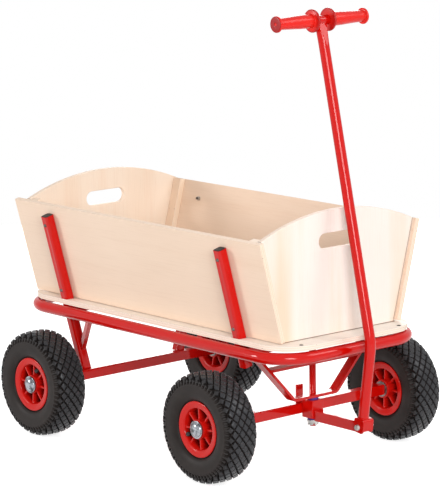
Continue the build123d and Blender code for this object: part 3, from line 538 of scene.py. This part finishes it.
def tyreGrid(spec):
    # section: rounded-square arch over the widest radius, sine and cosine raised to one power, resampled
    turn = np.linspace(0, np.pi, spec["fineSteps"])
    archR = spec["widest"] + (spec["radius"] - spec["widest"]) * np.sin(turn) ** spec["power"]
    archY = -spec["halfWidth"] * np.sign(np.cos(turn)) * np.abs(np.cos(turn)) ** spec["power"]
    run = np.concatenate([[0], np.cumsum(np.hypot(np.diff(archR), np.diff(archY)))])
    even = np.linspace(0, run[-1], spec["across"])
    radius, offset = np.interp(even, run, archR), np.interp(even, run, archY)
    fromCrown = even - run[-1] / 2
    # tread: diamond blocks where two slanted phases both stay away from a whole number; past the shoulder the
    # phases stop slanting, so that the grooves run on as straight notches
    angle = np.linspace(0, 2 * np.pi, spec["around"], endpoint=False)[:, None]
    along = angle * spec["blocks"] / (2 * np.pi)
    cross = np.clip(fromCrown[None, :] / spec["blockPitch"], -spec["notchFrom"], spec["notchFrom"])
    edge = np.maximum(np.abs((along + cross) % 1 - 0.5), np.abs((along - cross) % 1 - 0.5))
    shoulder = smoothstep(*spec["shoulderFrom"], np.abs(fromCrown))
    half = spec["blockHalf"] + (spec["shoulderHalf"] - spec["blockHalf"]) * shoulder
    depth = spec["depth"] + (spec["shoulderDepth"] - spec["depth"]) * shoulder
    block = smoothstep(0, spec["blockEase"], half[None, :] + spec["blockEase"] / 2 - edge)
    band = 1 - smoothstep(spec["treadHalf"] - spec["treadFade"], spec["treadHalf"], np.abs(fromCrown))
    sink = (depth * band)[None, :] * (1 - block)
    for ring in spec["ringRadii"]:
        sink = sink - spec["ringHeight"] * np.exp(-((radius - ring) / spec["ringWidth"]) ** 2)[None, :]
    slope = np.hypot(np.gradient(radius), np.gradient(offset))
    sinkR, sinkY = np.gradient(offset) / slope, -np.gradient(radius) / slope
    treadR = radius[None, :] - sink * sinkR[None, :]
    treadY = offset[None, :] - sink * sinkY[None, :]
    # side walls: a quarter of an ellipse from the lip out to the widest point, with the bead under the lip
    rise = np.linspace(0, np.pi / 2, spec["lipSteps"] + 1)[:-1]
    lipR = spec["lipRadius"] + (spec["widest"] - spec["lipRadius"]) * (1 - np.cos(rise))
    lipY = spec["lipHalf"] + (spec["halfWidth"] - spec["lipHalf"]) * np.sin(rise)
    headR = np.concatenate([[spec["beadRadius"], spec["beadRadius"]], lipR])
    headY = -np.concatenate([[spec["beadIn"], spec["beadHalf"]], lipY])
    full = np.ones_like(angle)
    wholeR = np.concatenate([full * headR, treadR, full * headR[::-1]], axis=1)
    wholeY = np.concatenate([full * headY, treadY, -full * headY[::-1]], axis=1)
    wall = full * np.zeros_like(headR)
    # block tops towards the crown: smoother and greyer, partly worn rubber and partly a painted sheen
    lessWornAndSheen = spec["wornAndSheenLess"] * smoothstep(*spec["wornAndSheenTo"], np.abs(fromCrown))
    topWornAndSheen = block * (band * (1 - lessWornAndSheen))[None, :]
    wornAndSheen = np.concatenate([wall, topWornAndSheen, wall], axis=1)
    return angle, wholeR * mm, wholeY * mm, wornAndSheen


rim = {"bore": 16, "shoulder": 11, "bearing": 11, "hub": 23, "hubOut": 36, "hubIn": 38, "web": 4, "floor": 44,
       "waist": 46.5, "waistOff": 22, "dish": 49.5, "dishOff": 34.5, "lip": 63, "flange": 66, "flangeOff": 37,
       "flangeEdge": (1, 3), "seat": 56, "seatOff": 31, "seatIn": 22, "well": 48, "wellOff": 11.5,
       "roundFace": [0.8, 1.5, 3, 4, 3, 3.5, 2.5, 1.2, 0.8, 1, 1, 2], "roundHub": [1.5, 0.8],
       "roundBore": [0.3, 0.3, 0.3, 0.3], "cornerSteps": 5, "ribs": 8, "ribTop": 29.5, "ribHalf": 2.0,
       "ribDraft": 2.4, "hubSlack": 0.01, "wellSlack": 0.1, "seatSlack": 1, "pocketShadeDeep": (2, 14),
       "pocketShadeFrom": 0.5, "around": 296, "crowd": 0.68, "gap": 2.2}


def rimGrid(s):
    # outline of hub, web, dish, flange and bead well, turned; between dish and hub the face rises to the
    # rib's edge where the point lies within a rib's half width of its line, with a drafted side
    flangeOut, flangeBack = (-s["flangeOff"] + k for k in s["flangeEdge"])
    faceOut = [(s["bore"], -s["hubOut"]), (s["hub"], -s["hubOut"]), (s["hub"], -s["web"]),
               (s["floor"], -s["web"]), (s["waist"], -s["waistOff"]), (s["dish"], -s["dishOff"]),
               (s["lip"], -s["flangeOff"]), (s["flange"], flangeOut), (s["flange"], flangeBack),
               (s["seat"], -s["seatOff"]), (s["seat"], -s["seatIn"]), (s["well"], -s["wellOff"])]
    hubEnd = [(s["hub"], s["hubIn"]), (s["bore"], s["hubIn"])]
    faceIn = [(r, -y) for r, y in faceOut[:1:-1]] + hubEnd
    boreIn, boreOut = s["hubIn"] - s["bearing"], -s["hubOut"] + s["bearing"]
    bore = [(s["bore"], boreIn), (s["shoulder"], boreIn), (s["shoulder"], boreOut), (s["bore"], boreOut)]
    rounds = s["roundFace"] + s["roundFace"][:1:-1] + s["roundHub"] + s["roundBore"]
    outline = fillIn(roundedOutline(faceOut + faceIn + bore, rounds, s["cornerSteps"]), s["gap"])
    radius, offset = outline[None, :, 0], outline[None, :, 1]
    # the steps round the wheel crowd towards the ribs
    even = np.linspace(0, 2 * np.pi, s["around"], endpoint=False)[:, None]
    firstRib = np.pi / s["ribs"]
    angle = even - s["crowd"] / s["ribs"] * np.sin(s["ribs"] * (even - firstRib))
    pitch = 2 * np.pi / s["ribs"]
    away = np.abs((angle - firstRib + pitch / 2) % pitch - pitch / 2) * radius
    rise = 1 - smoothstep(s["ribHalf"], s["ribHalf"] + s["ribDraft"], away)
    between = (radius >= s["hub"] - s["hubSlack"]) & (radius < s["dish"]) & (np.abs(offset) < s["ribTop"])
    seatSide = (radius > s["well"] - s["wellSlack"]) & (np.abs(offset) < s["seatIn"] + s["seatSlack"])
    pocket = between & ~seatSide
    raised = np.where(pocket, offset + (np.sign(offset) * s["ribTop"] - offset) * rise, offset)
    # painted shade: the red darkens deeper down in the pockets between the ribs
    paintedShade = np.where(pocket, smoothstep(*s["pocketShadeDeep"], s["ribTop"] - np.abs(raised)), 0)
    paintedShade = paintedShade * (radius > s["hub"] + s["pocketShadeFrom"])
    return angle, radius * mm, raised * mm, paintedShade


tyreAngle, tyreR, tyreY, tyreWornAndSheen = tyreGrid(tyre)
rimAngle, rimR, rimY, rimShade = rimGrid(rim)
for corner in wheelRoll:
    putOn(gridPiece(f"{corner}_tyre_tread", [onWheel(corner, tyreAngle, tyreR, tyreY)], sharpAngle=60,
                    values=[("wornAndSheen", tyreWornAndSheen)]), f"{corner}_tyre")
    putOn(gridPiece(f"{corner}_rim_moulding", [onWheel(corner, rimAngle, rimR, rimY)], sharpAngle=55,
                    values=[("paintedShade", rimShade)]), f"{corner}_rim")
print("tyres and rims dressed")

# inner tubes: a plain ring inside the tyre, and the valve that comes out through the rim's pocket
innerTube = {"middle": 88, "radius": 27, "rootRadius": 52, "rootOff": 12, "tipRadius": 38.5, "tipOff": 36,
             "stem": 3.8, "capWide": 5.0, "capFrom": 0.62, "knurl": 0.25, "ridges": 14, "ridgesTo": 0.95,
             "around": 96, "section": 28}
# rings of the valve from root to tip: place along it, then shares of the stem's and of the cap's radius
capFrom = innerTube["capFrom"]
valveRings = [(0, 0, 0), (0, 1, 0), (0.58, 1, 0), (capFrom, 1, 0), (capFrom, 0, 0.92), (0.66, 0, 1),
              (0.94, 0, 1), (0.985, 0, 0.9), (1, 0, 0.6), (1, 0, 0)]


def tubeGrids(spec):
    # ring: a circle carried round the axle; valve: rings along a straight line, wider from the cap's foot on
    angle = np.linspace(0, 2 * np.pi, spec["around"], endpoint=False)[:, None]
    turn = np.linspace(0, 2 * np.pi, spec["section"], endpoint=False)[None, :]
    ring = (angle, (spec["middle"] + spec["radius"] * np.cos(turn)) * mm, spec["radius"] * np.sin(turn) * mm)
    t, stemShare, capShare = np.array(valveRings, float).T[..., None]
    ridged = (t > spec["capFrom"]) * (t < spec["ridgesTo"])
    wide = stemShare * spec["stem"] + capShare * spec["capWide"]
    wide = wide + spec["knurl"] * np.cos(spec["ridges"] * turn) * ridged
    run = np.array([spec["tipRadius"] - spec["rootRadius"], spec["rootOff"] - spec["tipOff"]])
    along = run / np.hypot(*run)
    radial = spec["rootRadius"] + run[0] * t - wide * np.cos(turn) * along[1]
    offset = -spec["rootOff"] + run[1] * t + wide * np.cos(turn) * along[0]
    aside = wide * np.sin(turn)
    return ring, (np.arctan2(aside, radial), np.hypot(radial, aside) * mm, offset * mm)


tubeRing, valve = tubeGrids(innerTube)
for corner in wheelRoll:
    ringPiece = gridPiece(f"{corner}_tube_and_valve", [onWheel(corner, *tubeRing)])
    valvePiece = gridPiece(f"{corner}_valve", [onWheel(corner, *valve).transpose(1, 0, 2)], closeCols=False)
    putOn(ringPiece, f"{corner}_inner_tube")
    valvePiece.data.materials.append(finishes["tube_rubber"])
    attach(valvePiece, f"{corner}_wheel")
print("inner tubes and valves in place")

# hub caps: a pressed dome on a narrow flange, open underneath
cap = {"seat": 38.8, "flange": 21, "flangeThick": 1.2, "dome": 17.5, "height": 8.5, "wall": 1.2,
       "domePower": 1.15, "domeSteps": 16, "edgeIn": (-1.6, -0.7, -0.15, 0, -0.15, -0.6),
       "edgeUp": (1.02, 1.06, 0.9, 0.5, 0.1, 0), "around": 72}


def capOutline(spec):
    # dome: a quarter of a cosine wave from the middle to its foot; the inside is the same wave a wall lower
    t = np.linspace(0, 1, spec["domeSteps"])
    domeR = spec["dome"] * np.sin(t * np.pi / 2)
    wave = np.cos(t * np.pi / 2) ** spec["domePower"]
    domeH = spec["flangeThick"] + (spec["height"] - spec["flangeThick"]) * wave
    edgeR = spec["flange"] + np.array(spec["edgeIn"])
    edgeH = spec["flangeThick"] * np.array(spec["edgeUp"])
    innerR = (domeR - spec["wall"] * t)[::-1]
    innerH = np.maximum(domeH - spec["wall"], 0)[::-1]
    radius, height = np.concatenate([domeR, edgeR, innerR]), np.concatenate([domeH, edgeH, innerH])
    return np.stack([radius, height], axis=1)


for end in ("front", "rear"):
    grids = []
    for side, hand in ((1, "left"), (-1, "right")):
        hub = jointPlace[f"{end}_{hand}_spin"]
        seat = (hub.x, hub.y + side * cap["seat"] * mm, hub.z)
        grids.append(turned(capOutline(cap) * mm, seat, (0, side, 0), cap["around"]))
    putOn(gridPiece(f"{end}_pressed_caps", grids, closeCols=False, sharpAngle=40), f"{end}_hub_caps")
print("hub caps pressed")

# handle: bent stem with a pinched top under the crossbar, and two moulded grips
barLow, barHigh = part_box("handle_crossbar")
crossbar = {"x": (barLow[0] + barHigh[0]) / 2, "z": (barLow[2] + barHigh[2]) / 2, "radius": 11 * mm}
hinge = jointPlace["handle_fold"]
stem = {"radius": 12.5 * mm, "foot": 21.5 * mm, "lean": math.radians(8.4), "back": math.radians(12.5),
        "bendAt": 199 * mm, "bendRadius": 120 * mm, "pinch": 62 * mm, "pinchedHalf": 7.2 * mm, "spread": 0.12,
        "around": 56, "rings": (14, 26, 40, 30)}


def stemGrid(spec):
    # straight foot, tangent arc, straight top; towards the crossbar the section is cut flat fore and aft,
    # widens a little and ends on the crossbar's round, by the root of radius squared less offset squared
    upLow = np.array([math.sin(spec["lean"]), 0, math.cos(spec["lean"])])
    upTop = np.array([-math.sin(spec["back"]), 0, math.cos(spec["back"])])
    bend = np.array([hinge.x, 0, hinge.z]) + spec["bendAt"] * upLow
    turn = spec["lean"] + spec["back"]
    tangent = spec["bendRadius"] * math.tan(turn / 2)
    topLength = math.hypot(crossbar["x"] - bend[0], crossbar["z"] - bend[2])
    footRings, arcRings, riseRings, topRings = spec["rings"]
    foot = np.linspace(spec["foot"], spec["bendAt"] - tangent, footRings)[:-1]
    arc = np.linspace(0, turn, arcRings)
    rise = np.linspace(tangent, topLength - spec["pinch"], riseRings)[1:]
    top = np.linspace(0, 1, topRings)[1:]
    ahead = np.array([math.cos(spec["lean"]), 0, -math.sin(spec["lean"])])
    bendCentre = bend - tangent * upLow - spec["bendRadius"] * ahead
    leans = spec["lean"] - arc
    arcMid = bendCentre + spec["bendRadius"] * np.stack([np.cos(leans), 0 * leans, -np.sin(leans)], axis=1)
    middle = np.concatenate([np.array([hinge.x, 0, hinge.z]) + foot[:, None] * upLow, arcMid,
                             bend + rise[:, None] * upTop])
    leanAt = np.concatenate([np.full(len(foot), spec["lean"]), leans, np.full(len(rise), -spec["back"])])
    forward = np.stack([np.cos(leanAt), 0 * leanAt, -np.sin(leanAt)], axis=1)
    angle = np.linspace(0, 2 * np.pi, spec["around"], endpoint=False)
    across = spec["radius"] * np.cos(angle)
    aside = spec["radius"] * np.sin(angle)
    sideways = np.array([0, 1, 0])
    tube = middle[:, None] + across[None, :, None] * forward[:, None] + aside[None, :, None] * sideways
    limit = spec["radius"] + (spec["pinchedHalf"] - spec["radius"]) * top[:, None]
    flat = np.clip(across[None, :], -limit, limit)
    wide = aside[None, :] * (1 + spec["spread"] * smoothstep(0, 1, top))[:, None]
    length = topLength - spec["pinch"]
    ends = topLength - np.sqrt(np.maximum(crossbar["radius"] ** 2 - flat ** 2, 0))
    rows = length + (ends - length) * top[:, None]
    forwardTop = forward[-1]
    pinched = bend + rows[..., None] * upTop + flat[..., None] * forwardTop + wide[..., None] * sideways
    startCap = np.broadcast_to(middle[0], (1, spec["around"], 3))
    endCap = np.broadcast_to(pinched[-1].mean(axis=0), (1, spec["around"], 3))
    return np.concatenate([startCap, tube, pinched, endCap])


putOn(gridPiece("handle_stem_tube", [stemGrid(stem)], closeRows=False, sharpAngle=28), "handle_stem")

grip = {"inner": 22, "outer": 138, "disc": 27, "discThick": 6, "root": 15.8, "rootLift": 0.6, "belly": 16.1,
        "end": 13.4, "endFlare": 0.3, "rim": 19, "rimThick": 7, "rimLift": 0.4, "bore": 11.2, "capThick": 3,
        "dimple": 3.2, "dimpleEdge": 1, "dimpleDeep": 1.4, "barrelIn": (3, 2.5), "barrelSteps": 7,
        "taperFrom": 0.18, "roundDisc": [0.6, 2.6, 2.6, 3.5], "roundBarrel": 4,
        "roundEnd": [2.5, 2.6, 3.2, 0.8, 0.8, 0, 0, 0.5], "around": 88}


def gripOutline(s):
    # disc, swelling barrel, rounded end rim and dimpled end face as radius and distance from the stem
    discFace = s["inner"] + s["discThick"]
    rimFace, dimpleFace, capFace = (s["outer"] - s[k] for k in ("rimThick", "dimpleDeep", "capThick"))
    barrel = np.linspace(discFace + s["barrelIn"][0], rimFace - s["barrelIn"][1], s["barrelSteps"])
    t = (barrel - barrel[0]) / (barrel[-1] - barrel[0])
    swell = (s["belly"] - s["root"]) * np.sin(np.pi * np.minimum(t * 2, 1))
    barrelR = s["root"] + swell - (s["root"] - s["end"]) * smoothstep(s["taperFrom"], 1, t)
    corners = [(s["bore"], s["inner"]), (s["disc"], s["inner"]), (s["disc"], discFace),
               (s["root"], discFace + s["rootLift"]), *zip(barrelR, barrel),
               (s["end"] + s["endFlare"], rimFace), (s["rim"], rimFace + s["rimLift"]),
               (s["rim"], s["outer"]), (s["dimple"] + s["dimpleEdge"], s["outer"]), (s["dimple"], dimpleFace),
               (0, dimpleFace), (0, capFace), (s["bore"], capFace)]
    return roundedOutline(corners, s["roundDisc"] + [s["roundBarrel"]] * len(barrel) + s["roundEnd"])


# painted shade: the discs' edges and the end faces get a deeper red than the barrel, for the shade on faces
# turned away from the light
gripPaintedShade = {"disc": 0.65, "discFrom": (20, 26), "end": 0.85, "endFrom": (-1.6, -0.4)}
gripShape = gripOutline(grip)
endFrom = (grip["outer"] + k for k in gripPaintedShade["endFrom"])
gripShadedEdge = np.maximum(gripPaintedShade["disc"] * smoothstep(*gripPaintedShade["discFrom"], gripShape[:, 0]),
                      gripPaintedShade["end"] * smoothstep(*endFrom, gripShape[:, 1]))
gripShade = np.tile(gripShadedEdge, (grip["around"], 1))
middle = (crossbar["x"], 0, crossbar["z"])
for side, hand in ((1, "left"), (-1, "right")):
    putOn(gridPiece(f"{hand}_grip_moulding", [turned(gripShape * mm, middle, (0, side, 0), grip["around"])],
                    sharpAngle=45, values=[("paintedShade", gripShade)]), f"{hand}_grip")
print("handle dressed")

# black plugs pushed into the open tops of the stakes
plug = {"half": 11.2, "corner": 0.36, "stem": 10.1, "deep": 12, "under": 0.1, "brim": 0.7, "brimEase": 0.5,
        "easeRise": 0.85, "crown": 0.6, "height": 1.4, "bar": 25, "around": 48}


def plugGrid(s, top, upward):
    # rounded square: cosine and sine each raised to one power, stacked from the foot up to a domed head
    angle = np.linspace(0, 2 * np.pi, s["around"], endpoint=False)
    squareX = np.sign(np.cos(angle)) * np.abs(np.cos(angle)) ** s["corner"]
    squareY = np.sign(np.sin(angle)) * np.abs(np.sin(angle)) ** s["corner"]
    half = np.array([0, s["stem"], s["stem"], s["half"], s["half"], s["half"] - s["brimEase"],
                     s["half"] * s["crown"], 0])
    height = np.array([-s["deep"], -s["deep"], s["under"], s["under"], s["brim"], s["height"] * s["easeRise"],
                       s["height"], s["height"]])
    forward = np.array([1, 0, 0])
    outward = np.cross(upward, forward)
    ring = squareX[None, :, None] * forward + squareY[None, :, None] * outward
    return np.array(top) + mm * (half[:, None, None] * ring + height[:, None, None] * np.array(upward))


plugGrids = []
for end in ("front", "rear"):
    for side, hand in ((1, "left"), (-1, "right")):
        low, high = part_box(f"{end}_{hand}_stake")
        reach = plug["bar"] / 2 * mm
        top = ((low[0] + high[0]) / 2, side * (max(abs(low[1]), abs(high[1])) - reach * math.cos(lean)),
               high[2] - reach * math.sin(lean))
        plugGrids.append(plugGrid(plug, top, (0, side * math.sin(lean), math.cos(lean))))
stakePlugs = gridPiece("stake_plugs", [g.transpose(1, 0, 2) for g in plugGrids], closeCols=False,
                       sharpAngle=40)
stakePlugs.data.materials.append(finishes["tube_rubber"])
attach(stakePlugs, "chassis")
print("stake plugs in place")

# screws that hold the board's corners down: a countersunk head with a cross cut into it
screw = {"ahead": 164, "behind": -775.5, "aside": 154.7, "foot": 1.6, "head": 5.0, "deep": 2.6, "proud": 1.0,
         "cut": 1.5, "arm": 0.75, "armTo": 0.7, "headRings": (1, 0.97, 0.8, 0.62, 0.5, 0.3, 0),
         "headRise": (0, 0.35, 0.75, 0.9, 0.97, 1, 1), "around": 40}


def screwGrid(spec, x, y, top):
    # cone with a slightly domed head; the cross lowers the head within half an arm's width of either line
    rings, rise = spec["head"] * np.array(spec["headRings"]), spec["proud"] * np.array(spec["headRise"])
    radius = np.concatenate([[0, spec["foot"]], rings])[:, None]
    height = np.concatenate([[-spec["deep"], -spec["deep"]], rise])[:, None]
    angle = np.linspace(0, 2 * np.pi, spec["around"], endpoint=False)[None, :]
    sideX, sideY = radius * np.cos(angle), radius * np.sin(angle)
    onArm = np.minimum(np.abs(sideX), np.abs(sideY)) < spec["arm"]
    cross = onArm & (radius < spec["head"] * spec["armTo"]) & (height > 0)
    return np.stack([x + sideX * mm, y + sideY * mm, top + (height - spec["cut"] * cross) * mm], axis=-1)


screwGrids = [screwGrid(screw, frontAxle + screw[end] * mm, side * screw["aside"] * mm, boardTop)
              for end in ("ahead", "behind") for side in (1, -1)]
boardScrews = gridPiece("board_corner_screws", screwGrids, closeRows=False, sharpAngle=40)
boardScrews.data.materials.append(platedSteel("dark_screw_steel", screwPlate))
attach(boardScrews, "chassis")
print("board screws in place")

# camera at the photograph's viewing angle, fitted to the picture's frame
view = {"azimuth": 49.471, "elevation": 10.209, "roll": -0.816, "focalPixels": 2775.73, "frameHeight": 486,
        "sensor": 36, "clipEnd": 60, "place": (4.740, -4.306, 1.678)}
azimuth, elevation, roll = (math.radians(view[k]) for k in ("azimuth", "elevation", "roll"))
back = Vector((math.sin(azimuth) * math.cos(elevation), -math.cos(azimuth) * math.cos(elevation),
               math.sin(elevation)))
right = Vector((math.cos(azimuth), math.sin(azimuth), 0))
up = back.cross(right)
rolledRight = math.cos(roll) * right + math.sin(roll) * up
rolledUp = -math.sin(roll) * right + math.cos(roll) * up
cameraData = bpy.data.cameras.new("photoCamera")
cameraData.sensor_width = view["sensor"]
cameraData.lens = view["focalPixels"] / view["frameHeight"] * view["sensor"]
cameraData.clip_end = view["clipEnd"]
camera = bpy.data.objects.new("photoCamera", cameraData)
bpy.context.collection.objects.link(camera)
turnedView = Matrix((rolledRight, rolledUp, back)).transposed().to_4x4()
camera.matrix_world = Matrix.Translation(Vector(view["place"]) + Vector((frontAxle, 0, 0))) @ turnedView
bpy.context.scene.camera = camera

# soft studio light: boxes beside the camera, at the near side, beyond and behind, in an even white room
lamps = {"frontBox": {"place": (3.95, -2.2, 1.75), "size": 2.0, "power": 128},
         "sideBox": {"place": (-2.5, -3.75, 1.45), "size": 1.2, "power": 74},
         "farBox": {"place": (2.9, 2.25, 3.1), "size": 2.0, "power": 50},
         "backBox": {"place": (-3.3, 3.1, 2.0), "size": 2.4, "power": 78}}
aim = Vector((0, 0, 0.4))
for name, lamp in lamps.items():
    lightData = bpy.data.lights.new(name, "AREA")
    lightData.shape = "DISK"
    lightData.size = lamp["size"]
    lightData.energy = lamp["power"]
    light = bpy.data.objects.new(name, lightData)
    light.location = lamp["place"]
    light.rotation_euler = (aim - Vector(lamp["place"])).to_track_quat("-Z", "Y").to_euler()
    bpy.context.collection.objects.link(light)


def seenRays(tree):
    # one for rays that show a surface: straight from the camera, mirrored or passed through
    rays = tree.nodes.new("ShaderNodeLightPath").outputs
    mirrored = mathNode(tree, "MAXIMUM", rays["Is Glossy Ray"], rays["Is Transmission Ray"])
    return mathNode(tree, "MAXIMUM", rays["Is Camera Ray"], mirrored)


room = {"light": 0.40, "seen": 1.0}
world = bpy.data.worlds.new("studio")
bpy.context.scene.world = world
world.use_nodes = True
tree = world.node_tree
background = tree.nodes["Background"]
tree.links.new(mapRange(tree, seenRays(tree), room["light"], room["seen"]), background.inputs["Strength"])
background.inputs["Color"].default_value = (1, 1, 1, 1)

# round pale floor; its glow lights nothing, so that the open floor is white and the shadow stays pale
studioFloor = {"radius": 3.2, "around": 96, "pale": (0.72, 0.72, 0.72), "rough": 0.9, "specular": 0.1,
               "glow": 0.76}
angle = np.linspace(0, 2 * np.pi, studioFloor["around"], endpoint=False)
ring = np.stack([np.cos(angle), np.sin(angle), 0 * angle], axis=1) * studioFloor["radius"]
floorMesh = bpy.data.meshes.new("studioFloor")
floorMesh.from_pydata(ring.tolist(), [], [list(range(studioFloor["around"]))])
floorPiece = bpy.data.objects.new("studioFloor", floorMesh)
bpy.context.collection.objects.link(floorPiece)
floorMaterial, tree, shader = newMaterial("pale_floor", studioFloor["pale"], studioFloor["rough"])
shader.inputs["Specular IOR Level"].default_value = studioFloor["specular"]
shader.inputs["Emission Color"].default_value = (1, 1, 1, 1)
glow = mathNode(tree, "MULTIPLY", seenRays(tree), studioFloor["glow"])
tree.links.new(glow, shader.inputs["Emission Strength"])
floorMesh.materials.append(floorMaterial)

bpy.context.scene.view_settings.view_transform = "Standard"
print("camera, lights and floor set")
